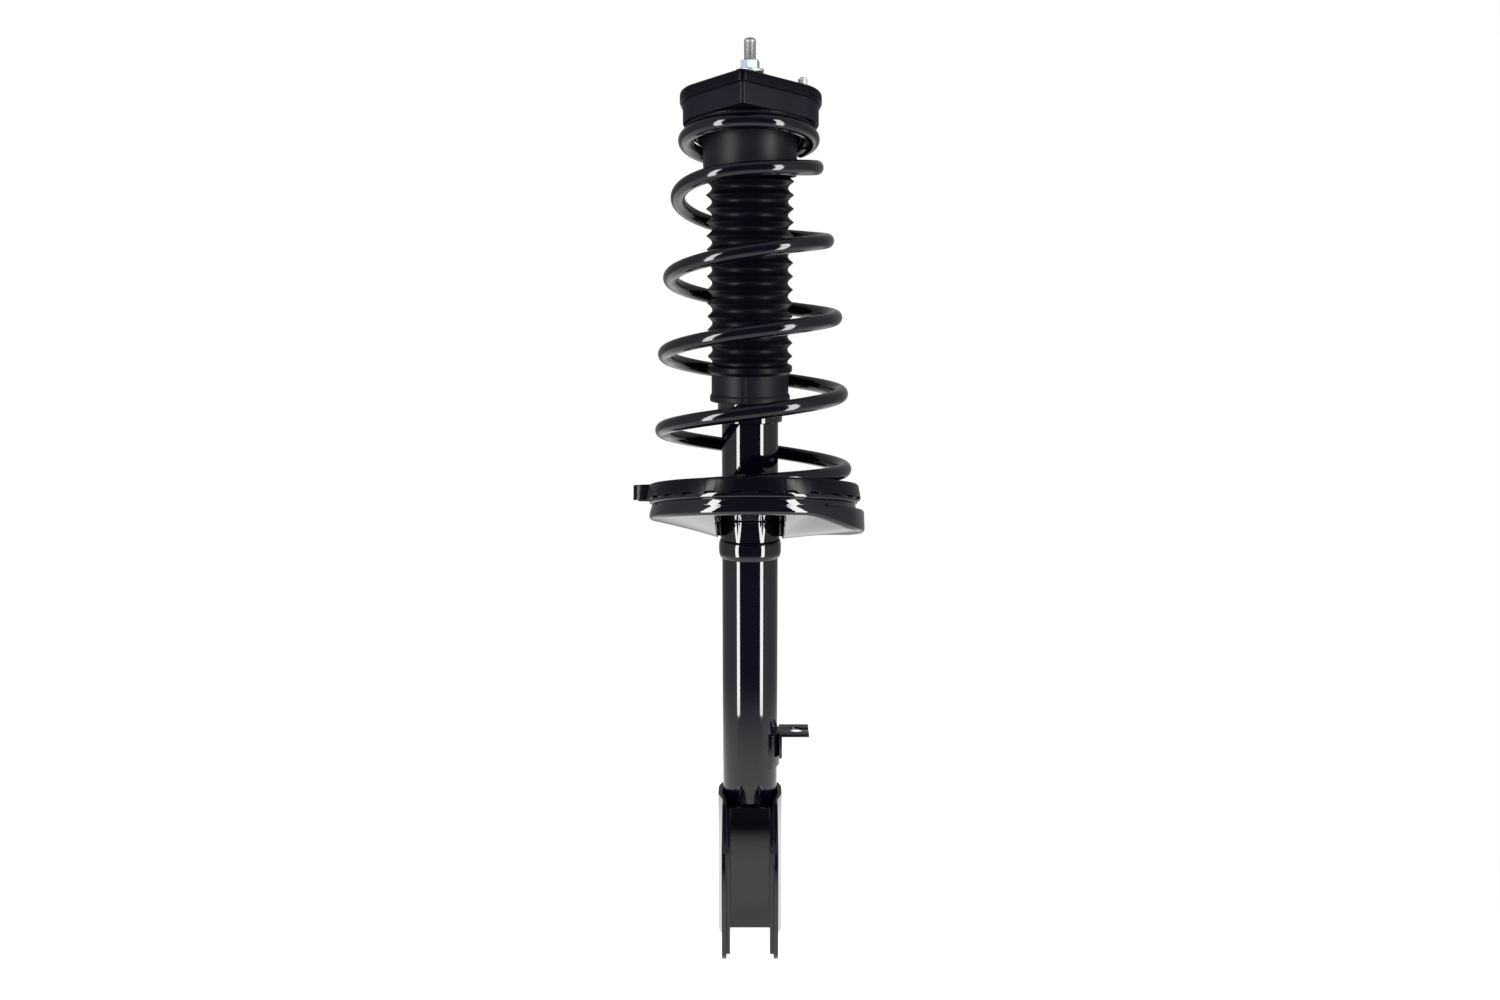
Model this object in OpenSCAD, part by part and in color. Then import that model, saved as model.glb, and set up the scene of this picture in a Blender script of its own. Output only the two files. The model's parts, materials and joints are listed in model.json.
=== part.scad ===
// Suspension strut assembly: twin-tube damper, inclined conical coil spring, rubber top mount.
// +Z runs up the damper's axis, -Y faces the wheel, and the origin is where that axis crosses
// the top mount's fixing face. The damper is drawn fully extended.

/* [Top mount] */
// Tilt of the fixing face, its wheel side higher
mount_tilt = 12; // [8:0.5:14]
// Radius of the circle through the three fixings
fixing_r = 51; // [50:0.5:52]
// Length of the locating stud above the fixing face
stud_length = 20; // [15:1:30]
// Height of the whole top mount
mount_h = 28; // [27:0.5:30]
// Depth of the top plate's folded rim
plate_rim_h = 10; // [8:0.5:12]

/* [Piston rod] */
// Radius of the piston rod
rod_r = 10; // [9:0.5:10.5]
// Radius of the thread at the top of the rod
rod_thread_r = 5; // [5:0.5:6]
// Height of the rod's tip above the fixing face
rod_tip_z = 43; // [38:1:48]

/* [Coil spring] */
// Radius of the spring wire
wire_r = 6.3; // [5.5:0.1:6.3]
// Mean radius of the top end coil
coil_top_r = 52.2; // [52:0.1:53]
// Mean radius of the bottom end coil
coil_bottom_r = 75.9; // [74.5:0.1:75.9]
// Turns of wire from end to end
coil_turns = 6; // [5.8:0.05:6]

/* [Dust boot] */
// Radius over the folds
boot_r = 36.2; // [35.5:0.1:36.3]
// Number of folds
boot_folds = 14; // [12:1:15]

/* [Damper body] */
// Outer radius of the reserve tube
tube_r = 24; // [23.9:0.1:24.1]
// Wall of the reserve tube
tube_wall = 2.2; // [1.8:0.1:2.4]
// Bottom end of the reserve tube
tube_bottom_z = -711; // [-715:1:-704]

/* [Lower spring seat] */
// Tilt of the seat, its wheel side higher
seat_tilt = 13.8; // [13:0.2:14]
// Outer radius of the seat pan's rim
pan_r = 86.5; // [86.5:0.1:87.5]
// Depth of the seat pan's rim
pan_rim_h = 18.5; // [17.5:0.5:19]

/* [Knuckle bracket] */
// Bottom edge of the bracket
bracket_bottom_z = -727; // [-729:1:-724]
// Height of the bracket where it wraps the tube
bracket_h = 128; // [125:1:135]
// Clear width between the two ears
jaw_w = 40; // [39:1:41]
// Reach of the ears from the damper's axis
ear_reach = 80; // [76:1:84]
// Radius of the two bolt holes
bolt_hole_r = 7.25; // [6.5:0.05:7.3]
// Distance between the two bolt holes
bolt_spacing = 60; // [56:1:64]

/* [Hidden] */

$fn = 96;
sheet = 2.5;
gap = 0.3;
big = 400;

// Top mount: centre and radius of each rounded corner, anticlockwise from the wheel side
mount_corners = [[-5.8, -53.4, 5.7], [27, 4, 32], [33, 19, 24], [-32, 17, 24], [-25.5, 0.5, 32]];
stud_angle = 30;
nut_angles = [150, 264];
nut_fixing_r = 43;
stud_r = 4;
stud_shank_r = 4.6;
clearance_hole_r = 4.25;
nut_thread_r = 3.4;
weld_nut_h = 6.5;
weld_nut_flats = 13;
pilot_h = 1.5;
plate_hole_r = 27;
housing_hole_r = 26;
rubber_r = 33;
sleeve_r = 8;
sleeve_top_z = 15.5;
shoulder_z = -26;
washer_r = 11.5;
washer_h = 2.5;
rod_nut_flats = 14;
rod_nut_h = 7;
seat_plate_h = 2;
upper_isolator_h = 1.2;
coil_seat_r = 53;
seat_bore_r = 42;
seat_collar_r = 44;
seat_collar_h = 8;

// Bumper cup, bumper and boot
cup_r = 39.4;
cup_bottom_r = 38.4;
cup_wall = 3;
cup_bottom_z = -68;
cup_floor_z = -44;
bumper_r = 23;
bumper_bottom_z = -132;
boot_top_z = -60;
fold_bottom_z = -221;
boot_valley_r = 31.8;
boot_wall = 1.4;
cuff_r = 32.6;
cuff_lip_r = 34;
cuff_bottom_z = -253.5;

// Coil spring
coil_centre_top = [-0.8, 0];
coil_centre_bottom = [2.8, -38];
coil_top_z = -(mount_h + seat_plate_h + upper_isolator_h + wire_r) / cos(mount_tilt) - 0.1;
coil_bottom_z = -329;
coil_pitch = 62.2;
coil_line_top_z = 4.75;
coil_end_blend = 7;
coil_top_turn = -0.1;
wire_sides = 12;
rings_per_turn = 22;

// Damper inside
cap_r = 27.4;
cap_bottom_z = -270.5;
cap_top_z = -243;
seal_top_z = -256;
seal_h = 8;
guide_h = 14;
guide_spigot_h = 8;
bush_r = 12;
running = 0.05;
pressure_r = 17.5;
pressure_bore_r = 16;
piston_top_z = -430;
piston_h = 22;
piston_stub_r = 5;
piston_end_z = -470;
base_valve_z = -697;
base_foot_h = 8;

// Lower spring seat
seat_centre = [3, -38, -331];
isolator_r = 89;
isolator_bore_r = 68.5;
isolator_wall_h = 11;
isolator_floor_top = -4.5;
isolator_teeth = 26;
hub_bottom_z = -372;
hub_r = 27.5;
flutes = 8;
flute_centre_r = 30.5;
recess_half_w = 29;
pocket_r = 92;
pocket_inner_r = 64;
pocket_top = -10;
pocket_bottom = -29;
support_r = 26.8;
support_h = 16.5;

// Knuckle bracket
ear_t = 4;
liner_t = 3;
bracket_top_z = bracket_bottom_z + bracket_h;
bolt_y = -60;
lower_bolt_z = bracket_bottom_z + 30;

// The top mount's tilted frame: its XY plane is the fixing face.
module mount_frame() {
    rotate([-mount_tilt, 0, 0]) children();
}

// The lower seat's tilted frame: its XY plane is the top edge of the pan's rim.
module seat_frame() {
    translate(seat_centre) rotate([-seat_tilt, 0, 0]) children();
}

// Plan of the top mount: broad and rounded, with one sharp corner towards the wheel.
module mount_outline(inset = 0) {
    hull() for (corner = mount_corners) translate([corner[0], corner[1]])
        circle(r = corner[2] - inset);
}

module at_stud() {
    rotate(stud_angle) translate([fixing_r, 0]) children();
}

module at_nuts() {
    for (angle = nut_angles) rotate(angle) translate([nut_fixing_r, 0]) children();
}

module ring(outer, inner, bottom, top) {
    translate([0, 0, bottom]) difference() {
        cylinder(r = outer, h = top - bottom);
        translate([0, 0, -1]) cylinder(r = inner, h = top - bottom + 2);
    }
}

module hexagon_nut(flats, height, bore_r) {
    difference() {
        cylinder(r = flats / sqrt(3), h = height, $fn = 6);
        translate([0, 0, -1]) cylinder(r = bore_r, h = height + 2);
    }
}

// Everything more than a given distance below the fixing face.
module below_mount(depth) {
    intersection() {
        children();
        mount_frame() translate([-big / 2, -big / 2, -big - depth]) cube(big);
    }
}

module mount_plate() {
    color("#1b1b1e") mount_frame() difference() {
        hull() {
            translate([0, 0, -plate_rim_h]) linear_extrude(plate_rim_h - 3) mount_outline();
            translate([0, 0, -1]) linear_extrude(1) mount_outline(3);
        }
        translate([0, 0, -plate_rim_h - 1]) linear_extrude(plate_rim_h + 1 - sheet)
            mount_outline(sheet);
        translate([0, 0, -5]) cylinder(r = plate_hole_r, h = 10);
        at_stud() translate([0, 0, -5]) cylinder(r = stud_shank_r, h = 10);
        at_nuts() translate([0, 0, -5]) cylinder(r = clearance_hole_r, h = 10);
    }
}

module mount_housing() {
    color("#18181b") mount_frame() difference() {
        translate([0, 0, -mount_h]) linear_extrude(mount_h - sheet) mount_outline(sheet);
        translate([0, 0, sheet - mount_h]) linear_extrude(mount_h) mount_outline(2 * sheet);
        translate([0, 0, -mount_h - 1]) cylinder(r = housing_hole_r, h = 10);
    }
}

module mount_rubber() {
    color("#141414") difference() {
        union() {
            mount_frame() ring(rubber_r, 20, sheet - mount_h, -sheet);
            mount_frame() translate([0, 0, sheet - mount_h]) cylinder(r = 25, h = mount_h - sheet - 2);
            translate([0, 0, -4]) cylinder(r1 = 24, r2 = 13, h = sleeve_top_z + 4 - 1.5);
        }
        translate([0, 0, -big / 2]) cylinder(r = sleeve_r, h = big);
        translate([0, 0, shoulder_z - 10]) cylinder(r = rod_r + 2, h = 12);
    }
}

module mount_sleeve() {
    color("#8d9093") ring(sleeve_r, rod_thread_r + 0.2, shoulder_z, sleeve_top_z);
}

module mount_stud() {
    color("#b9c2ba") mount_frame() {
        intersection() {
            at_stud() translate([0, 0, -5.5]) cylinder(r = 6.5, h = 5.5 - sheet);
            translate([0, 0, -6]) linear_extrude(6) mount_outline(2 * sheet + gap);
        }
        at_stud() {
            translate([0, 0, -sheet]) cylinder(r = stud_shank_r, h = sheet);
            cylinder(r = stud_r, h = stud_length - 1);
            translate([0, 0, stud_length - 1]) cylinder(r1 = stud_r, r2 = stud_r - 1, h = 1);
        }
    }
}

// Each nut has a pilot collar that locates it in the plate's hole.
module mount_weld_nuts() {
    color("#a9adb0") mount_frame() at_nuts() difference() {
        union() {
            translate([0, 0, -sheet - weld_nut_h])
                cylinder(r = weld_nut_flats / sqrt(3), h = weld_nut_h, $fn = 6);
            translate([0, 0, -sheet - 1]) cylinder(r = clearance_hole_r - 0.1, h = pilot_h + 1);
        }
        translate([0, 0, -sheet - weld_nut_h - 1]) cylinder(r = nut_thread_r, h = weld_nut_h + 5);
    }
}

module rod_washer() {
    color("#9aa39c") ring(washer_r, rod_thread_r + 0.2, sleeve_top_z, sleeve_top_z + washer_h);
}

module rod_nut() {
    color("#cdd8e6") translate([0, 0, sleeve_top_z + washer_h])
        rotate(15) hexagon_nut(rod_nut_flats, rod_nut_h, rod_thread_r);
}

// The mount's tilted frame, moved along so that it is centred on the top end coil.
module upper_seat_frame() {
    middle_depth = mount_h + seat_plate_h + seat_collar_h / 2;
    mount_frame() translate([coil_centre_top.x, middle_depth * tan(mount_tilt), 0]) children();
}

module upper_spring_seat() {
    plate_bottom = -mount_h - seat_plate_h;
    color("#1b1b1e") upper_seat_frame() {
        ring(coil_seat_r, seat_bore_r, plate_bottom, -mount_h);
        ring(seat_collar_r, seat_bore_r, plate_bottom - seat_collar_h, plate_bottom);
    }
}

module upper_isolator() {
    plate_bottom = -mount_h - seat_plate_h;
    color("#111111") upper_seat_frame()
        ring(coil_seat_r + 0.5, seat_collar_r + 0.1, plate_bottom - upper_isolator_h, plate_bottom);
}

// The cup's top is cut to the mount's tilt; its floor holds the jounce bumper.
module bumper_cup() {
    color("#1d1d1f") below_mount(mount_h + gap) difference() {
        translate([0, 0, cup_bottom_z])
            cylinder(r1 = cup_bottom_r, r2 = cup_r, h = -cup_bottom_z - 15);
        translate([0, 0, cup_bottom_z - 1])
            cylinder(r = cup_bottom_r - cup_wall, h = cup_floor_z - cup_bottom_z + 1);
        translate([0, 0, -big / 2]) cylinder(r = rod_r + 2, h = big);
    }
}

module jounce_bumper() {
    waist_r = bumper_r - 6;
    color("#c8b27a") rotate_extrude() polygon([
        [rod_r + 0.5, cup_floor_z], [bumper_r, cup_floor_z], [bumper_r, -66],
        [waist_r, -72], [bumper_r - 1, -78], [bumper_r - 1, -88], [waist_r, -94],
        [bumper_r - 3, -100], [bumper_r - 3, -108], [rod_r + 4, bumper_bottom_z],
        [rod_r + 0.5, bumper_bottom_z]
    ]);
}

module piston_rod() {
    dome_r = 6;
    color("#a4a6a8") rotate_extrude() polygon(concat(
        [[0, piston_end_z], [piston_stub_r, piston_end_z], [piston_stub_r, piston_top_z],
         [rod_r, piston_top_z], [rod_r, shoulder_z], [rod_thread_r, shoulder_z],
         [rod_thread_r, rod_tip_z - 3]],
        [for (a = [15:15:90]) [rod_thread_r * cos(a), rod_tip_z - 3 + 3 * sin(a)]]
    ));
}

module rebound_stop() {
    color("#8f9294") ring(15, rod_r, -304, -297);
}

module rebound_cushion() {
    color("#3a3226") ring(14.5, rod_r, -297, -(-seal_top_z + seal_h + guide_h + guide_spigot_h + gap));
}

module piston() {
    color("#77797b") difference() {
        ring(pressure_bore_r - 0.2, piston_stub_r, piston_top_z - piston_h, piston_top_z - 2);
        ring(pressure_bore_r + 1, pressure_bore_r - 1.2, piston_top_z - 17, piston_top_z - 7);
        for (a = [0:60:300]) rotate(a) translate([9, 0, piston_top_z - piston_h - 1])
            cylinder(r = 1.6, h = piston_h + 2, $fn = 24);
    }
}

module piston_band() {
    color("#5b4a2d") ring(pressure_bore_r - running, pressure_bore_r - 1.2,
                          piston_top_z - 17, piston_top_z - 7);
}

module piston_discs() {
    color("#b5b8ba") {
        ring(13, piston_stub_r, piston_top_z - 2, piston_top_z - 1);
        ring(9, piston_stub_r, piston_top_z - 1, piston_top_z);
        ring(12, piston_stub_r, piston_top_z - piston_h - 1.5, piston_top_z - piston_h);
        ring(8.5, piston_stub_r, piston_top_z - piston_h - 3, piston_top_z - piston_h - 1.5);
    }
}

module piston_nut() {
    color("#9b9ea0") translate([0, 0, piston_top_z - piston_h - 12])
        hexagon_nut(15, 9, piston_stub_r);
}

// Smooth ramp: 0 well below x = 0, x well above it.
function ramp(x) = coil_end_blend * ln(1 + exp(x / coil_end_blend));

// Height of the wire's centre on the spring's own axis, after t turns down from the top.
function coil_line_z(t) = coil_line_top_z - coil_pitch * t;
function coil_open_z(t) = coil_top_z - ramp(coil_top_z - coil_line_z(t));
function coil_z(t) = coil_bottom_z + ramp(coil_open_z(t) - coil_bottom_z);
function coil_part(t) = (coil_top_z - coil_z(t)) / (coil_top_z - coil_bottom_z);
function coil_r(f) = coil_top_r + (coil_bottom_r - coil_top_r) * (1.9 * f - 0.9 * f * f);
function coil_centre(f) = coil_centre_top + (coil_centre_bottom - coil_centre_top) * f;
// The second turn leans to the right, where the wire leaves the end coil.
function coil_lean(f) = 6 * exp(-pow((f - 0.12) / 0.06, 2));
function coil_tilt(f) = 5.5 + (mount_tilt - 5.5) * exp(-f / 0.14) + (seat_tilt - 5.5) * exp((f - 1) / 0.08);

// A point of the wire's centre line: right-handed, with the wheel side of each turn raised.
function coil_point(t) =
    let (f = coil_part(t), r = coil_r(f), a = -360 * t, tilt = coil_tilt(f), c = coil_centre(f))
    [c[0] + r * cos(a), c[1] + r * sin(a) * cos(tilt),
     coil_z(t) - r * sin(a) * sin(tilt) - r * cos(a) * sin(coil_lean(f))];

// A ring of points round the wire at turn t.
function wire_ring(t) =
    let (
        p = coil_point(t),
        ahead = coil_point(t + 0.002) - coil_point(t - 0.002),
        along = ahead / norm(ahead),
        f = coil_part(t),
        out0 = [p[0] - coil_centre(f)[0], p[1] - coil_centre(f)[1], 0],
        out1 = out0 - along * (out0 * along),
        outward = out1 / norm(out1),
        side = cross(along, outward)
    )
    [for (i = [0:wire_sides - 1]) let (a = 360 * i / wire_sides)
        p + wire_r * (cos(a) * outward + sin(a) * side)];

module coil_spring() {
    rings = round(coil_turns * rings_per_turn);
    n = wire_sides;
    points = [for (k = [0:rings]) each wire_ring(coil_top_turn + coil_turns * k / rings)];
    walls = [for (k = [0:rings - 1], i = [0:n - 1]) let (j = (i + 1) % n)
        each [[k * n + i, k * n + j, (k + 1) * n + i], [k * n + j, (k + 1) * n + j, (k + 1) * n + i]]];
    start = [for (i = [0:n - 1]) n - 1 - i];
    end = [for (i = [0:n - 1]) rings * n + i];
    color("#131315") polyhedron(points = points, faces = concat(walls, [start, end]));
}

module dust_boot() {
    pitch = (boot_top_z - 6 - fold_bottom_z) / boot_folds;
    outer = [for (i = [0:boot_folds - 1]) each [
        [boot_valley_r, fold_bottom_z + pitch * i],
        [boot_r, fold_bottom_z + pitch * (i + 0.5)]
    ]];
    inner = [for (i = [boot_folds - 1:-1:0]) each [
        [boot_r - boot_wall - 0.6, fold_bottom_z + pitch * (i + 0.5)],
        [boot_valley_r - boot_wall, fold_bottom_z + pitch * i]
    ]];
    neck_r = cup_bottom_r - cup_wall - gap - 0.6;
    color("#1c1c1e") rotate_extrude() polygon(concat(
        [[cap_r + gap, cuff_bottom_z], [cuff_lip_r, cuff_bottom_z], [cuff_lip_r, cuff_bottom_z + 5],
         [cuff_r, cuff_bottom_z + 7], [cuff_r, -229], [boot_r - 0.3, -226.5], [boot_r - 0.3, -223]],
        outer,
        [[boot_valley_r, boot_top_z - 6], [neck_r, boot_top_z - 3], [neck_r, boot_top_z],
         [boot_valley_r - boot_wall, boot_top_z]],
        inner,
        [[boot_valley_r - boot_wall, -228], [cap_r + gap, -230]]
    ));
}

module reserve_tube() {
    color("#141417") {
        ring(tube_r, tube_r - tube_wall, tube_bottom_z, seal_top_z + 2);
        ring(tube_r - tube_wall, tube_r - 4, seal_top_z, seal_top_z + 2);
    }
}

module pressure_tube() {
    color("#8b8e91") ring(pressure_r, pressure_bore_r, base_valve_z, seal_top_z - seal_h - guide_h);
}

module rod_guide() {
    guide_top_z = seal_top_z - seal_h;
    color("#86827a") difference() {
        union() {
            translate([0, 0, guide_top_z - guide_h]) cylinder(r = tube_r - tube_wall, h = guide_h);
            translate([0, 0, guide_top_z - guide_h - guide_spigot_h])
                cylinder(r = pressure_bore_r, h = guide_spigot_h + 1);
        }
        translate([0, 0, -big - 100]) cylinder(r = bush_r, h = big);
    }
}

module guide_bush() {
    guide_top_z = seal_top_z - seal_h;
    color("#a97d45") ring(bush_r, rod_r + running, guide_top_z - guide_h - guide_spigot_h, guide_top_z);
}

module oil_seal() {
    color("#20201f") ring(tube_r - tube_wall, rod_r + running, seal_top_z - seal_h, seal_top_z);
}

module tube_end_cap() {
    color("#161619") {
        ring(cap_r, tube_r, cap_bottom_z, cap_top_z - 3);
        ring(cap_r, rod_r + 2, cap_top_z - 3, cap_top_z);
    }
}

// Space cut out of the front of the seat's underside, so that the hub can be welded.
module seat_recess(wall) {
    intersection() {
        seat_frame() translate([-big / 2, -big / 2, -big - pan_rim_h + wall + 0.5]) cube(big);
        translate([-recess_half_w - wall, -big, -big - 300])
            cube([2 * (recess_half_w + wall), big + wall, big]);
    }
}

// The pan's cone, drawn in by a wall thickness: the rim's circle narrows to the hub's.
module seat_cone(wall) {
    difference() {
        hull() {
            seat_frame() translate([0, 0, -pan_rim_h + wall + 1])
                cylinder(r = pan_r - 2 - wall, h = 1, $fn = 48);
            translate([0, 0, hub_bottom_z + wall]) cylinder(r = hub_r - wall, h = 1, $fn = 48);
        }
        seat_recess(wall);
    }
}

module lower_spring_seat() {
    rim_bore_r = pan_r - 3;
    color("#151518") difference() {
        union() {
            seat_cone(0);
            seat_frame() translate([0, 0, -pan_rim_h]) cylinder(r = pan_r, h = pan_rim_h);
            seat_frame() pocket(0);
        }
        seat_frame() translate([0, 0, -pan_rim_h + 3]) cylinder(r = rim_bore_r, h = big);
        seat_cone(3);
        seat_frame() pocket(3);
        translate([0, 0, -big]) cylinder(r = tube_r, h = big);
    }
}

// Deep end of the seat's ramp, under the end of the wire.
module pocket(wall) {
    half_span = 42 - 0.7 * wall;
    rotate(-half_span) rotate_extrude(angle = 2 * half_span)
        translate([pocket_inner_r + wall, pocket_bottom + wall])
            square([pocket_r - pocket_inner_r - 2 * wall, pocket_top - pocket_bottom - 2 * wall]);
}

module lower_isolator() {
    inside_rim_r = pan_r - 3.1;
    color("#161617") seat_frame() {
        ring(inside_rim_r, isolator_bore_r, -pan_rim_h + 3, isolator_floor_top);
        ring(inside_rim_r, inside_rim_r - 1, isolator_floor_top, 1);
        ring(isolator_r, inside_rim_r, 0, isolator_wall_h);
        difference() {
            ring(isolator_r, pan_r + 0.1, -2.5, 0);
            for (i = [0:isolator_teeth - 1]) rotate(360 * i / isolator_teeth)
                translate([pan_r - 2, -3.4, -3]) cube([6, 6.8, 3]);
        }
        rotate(180) translate([isolator_r - 4, -9, 1]) cube([15, 18, isolator_wall_h - 2]);
    }
}

// The fluted half collar that shows in the recess under the front of the seat.
module seat_hub() {
    color("#151518") difference() {
        translate([0, 0, hub_bottom_z + 0.2]) cylinder(r1 = tube_r + 1.2, r2 = 28, h = 19);
        translate([0, 0, -big]) cylinder(r = tube_r, h = big);
        translate([-big / 2, -gap, -big - 100]) cube(big);
        seat_frame() translate([-big / 2, -big / 2, -pan_rim_h - gap]) cube(big);
        for (i = [0:flutes - 1]) rotate(22.5 + 360 * i / flutes)
            translate([flute_centre_r, 0, hub_bottom_z + 2]) rotate([0, 8, 0])
                cylinder(r = 6, h = 30, $fn = 48);
    }
}

module seat_support_ring() {
    crown = support_r - tube_r;
    color("#151518") translate([0, 0, hub_bottom_z - support_h]) rotate_extrude() polygon(concat(
        [[tube_r, 0]],
        [for (a = [0:15:90]) [tube_r + crown * sin(a), 4 - 4 * cos(a)]],
        [for (a = [0:15:90]) [tube_r + crown * cos(a), support_h - 4 + 4 * sin(a)]]
    ));
}

module base_valve() {
    foot_r = tube_r - tube_wall;
    color("#7f8184") difference() {
        union() {
            translate([0, 0, base_valve_z - base_foot_h]) cylinder(r = foot_r, h = base_foot_h);
            translate([0, 0, base_valve_z]) cylinder(r = pressure_bore_r, h = 8);
        }
        translate([0, 0, base_valve_z - base_foot_h - 1]) cylinder(r = 6, h = base_foot_h - 3);
        for (a = [0:90:270]) rotate(a) translate([0, 0, base_valve_z - 4]) {
            translate([10, 0, -5]) cylinder(r = 1.5, h = 20, $fn = 24);
        }
    }
}

module base_valve_discs() {
    color("#b5b8ba") {
        translate([0, 0, base_valve_z + 8]) cylinder(r = 13, h = 1);
        translate([0, 0, base_valve_z + 9]) cylinder(r = 7, h = 1.5);
    }
}

module tube_base() {
    color("#141417") rotate_extrude() polygon([
        [0, tube_bottom_z - 6], [12, tube_bottom_z - 5.5], [19, tube_bottom_z - 3],
        [tube_r, tube_bottom_z], [tube_r - tube_wall, tube_bottom_z],
        [tube_r - tube_wall, tube_bottom_z + 3], [0, tube_bottom_z + 1]
    ]);
}

// Side view of the bracket's ears, Y to the left of the page and Z up.
module ear_profile() {
    hull() {
        translate([18, bracket_bottom_z + 4]) circle(r = 4);
        translate([18, bracket_top_z - 4]) circle(r = 4);
        translate([-38, bracket_top_z - 6]) circle(r = 6);
        translate([-ear_reach + 14, lower_bolt_z + bolt_spacing]) circle(r = 14);
        translate([-ear_reach + 14, bracket_bottom_z + 14]) circle(r = 14);
    }
    translate([0, bracket_bottom_z]) square([tube_r + ear_t, bracket_h]);
}

// The ear's side view as a slab across the whole bracket.
module ear_slab() {
    rotate([90, 0, 90]) translate([0, 0, -60]) linear_extrude(120) ear_profile();
}

module bolt_holes() {
    for (z = [lower_bolt_z, lower_bolt_z + bolt_spacing]) translate([-60, bolt_y, z])
        rotate([0, 90, 0]) cylinder(r = bolt_hole_r, h = 120);
}

// Plan of the space inside the bracket, grown by a wall thickness: the tube's back half,
// then a joggle in to the jaw's width.
module bracket_plan(wall) {
    round_r = tube_r + wall;
    jaw_half = jaw_w / 2 + wall;
    circle(r = round_r);
    polygon([
        [-round_r, 0], [-round_r, -14], [-jaw_half, -28], [-jaw_half, -ear_reach - 1],
        [jaw_half, -ear_reach - 1], [jaw_half, -28], [round_r, -14], [round_r, 0]
    ]);
}

module knuckle_bracket() {
    color("#151518") difference() {
        intersection() {
            translate([0, 0, bracket_bottom_z]) linear_extrude(bracket_h) difference() {
                bracket_plan(ear_t);
                bracket_plan(0);
                translate([-jaw_w, -ear_reach - 2]) square([2 * jaw_w, 3]);
            }
            ear_slab();
        }
        bolt_holes();
    }
}

module bracket_liner() {
    base_y = -tube_r - 0.1 - liner_t;
    flank = jaw_w / 2;
    color("#151518") difference() {
        intersection() {
            translate([0, 0, bracket_bottom_z + 8]) linear_extrude(bracket_h - 16) {
                translate([-flank, base_y - 1]) square([2 * flank, liner_t]);
                for (side = [-1, 1]) translate([side > 0 ? flank - liner_t : -flank, -ear_reach + 4])
                    square([liner_t, ear_reach - 4 + base_y]);
            }
            ear_slab();
        }
        bolt_holes();
    }
}

module hose_bracket() {
    top_z = -545;
    color("#151518") difference() {
        union() {
            intersection() {
                ring(tube_r + 2.5, tube_r, top_z - 30, top_z);
                translate([0, -18, top_z - 40]) cube([60, 36, 50]);
            }
            translate([tube_r + 1.8, -14, top_z - 2.5]) cube([26, 28, 2.5]);
            translate([tube_r + 1.6, -14, top_z - 22]) cube([2.5, 28, 22]);
        }
        translate([tube_r + 17, 0, top_z - 5]) cylinder(r = 6, h = 10);
        translate([tube_r + 17, -3.5, top_z - 5]) cube([20, 7, 10]);
    }
}

mount_plate();
mount_housing();
mount_rubber();
mount_sleeve();
mount_stud();
mount_weld_nuts();
rod_washer();
rod_nut();
upper_spring_seat();
upper_isolator();
bumper_cup();
jounce_bumper();
piston_rod();
rebound_stop();
rebound_cushion();
piston();
piston_band();
piston_discs();
piston_nut();
coil_spring();
dust_boot();
reserve_tube();
pressure_tube();
rod_guide();
guide_bush();
oil_seal();
tube_end_cap();
lower_spring_seat();
lower_isolator();
seat_hub();
seat_support_ring();
base_valve();
base_valve_discs();
tube_base();
knuckle_bracket();
bracket_liner();
hose_bracket();
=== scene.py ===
import json
import math

import bmesh
import bpy
import numpy as np
from mathutils import Matrix, Vector


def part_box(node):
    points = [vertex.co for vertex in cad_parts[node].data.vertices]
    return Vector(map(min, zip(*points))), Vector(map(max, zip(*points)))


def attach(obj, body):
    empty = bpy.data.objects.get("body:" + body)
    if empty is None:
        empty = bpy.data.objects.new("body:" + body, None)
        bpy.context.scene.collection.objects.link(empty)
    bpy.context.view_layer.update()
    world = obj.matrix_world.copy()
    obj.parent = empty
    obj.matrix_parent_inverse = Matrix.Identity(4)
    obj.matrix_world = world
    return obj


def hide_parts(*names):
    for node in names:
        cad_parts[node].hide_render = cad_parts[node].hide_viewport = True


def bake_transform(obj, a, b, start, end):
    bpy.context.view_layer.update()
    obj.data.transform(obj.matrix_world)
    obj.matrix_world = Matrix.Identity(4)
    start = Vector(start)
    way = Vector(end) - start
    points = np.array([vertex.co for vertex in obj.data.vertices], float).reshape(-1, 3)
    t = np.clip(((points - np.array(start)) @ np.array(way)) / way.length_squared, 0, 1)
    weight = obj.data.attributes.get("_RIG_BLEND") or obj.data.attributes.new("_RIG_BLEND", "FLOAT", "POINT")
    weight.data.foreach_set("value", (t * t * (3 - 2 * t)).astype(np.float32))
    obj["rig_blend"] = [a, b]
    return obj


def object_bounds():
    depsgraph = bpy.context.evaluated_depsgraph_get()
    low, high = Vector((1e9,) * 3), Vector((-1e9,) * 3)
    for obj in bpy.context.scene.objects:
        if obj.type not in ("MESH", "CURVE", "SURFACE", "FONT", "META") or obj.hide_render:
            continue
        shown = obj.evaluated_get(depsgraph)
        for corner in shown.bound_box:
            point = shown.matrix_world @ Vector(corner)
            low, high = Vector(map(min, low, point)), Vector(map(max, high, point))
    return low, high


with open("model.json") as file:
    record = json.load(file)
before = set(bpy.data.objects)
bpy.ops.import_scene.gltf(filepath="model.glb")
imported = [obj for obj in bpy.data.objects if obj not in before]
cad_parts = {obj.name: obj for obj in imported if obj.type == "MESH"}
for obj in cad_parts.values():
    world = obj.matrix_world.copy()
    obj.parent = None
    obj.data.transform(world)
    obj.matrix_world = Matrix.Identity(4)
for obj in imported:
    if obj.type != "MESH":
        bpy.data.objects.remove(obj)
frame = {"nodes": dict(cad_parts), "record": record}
cad_low, cad_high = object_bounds()

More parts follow.
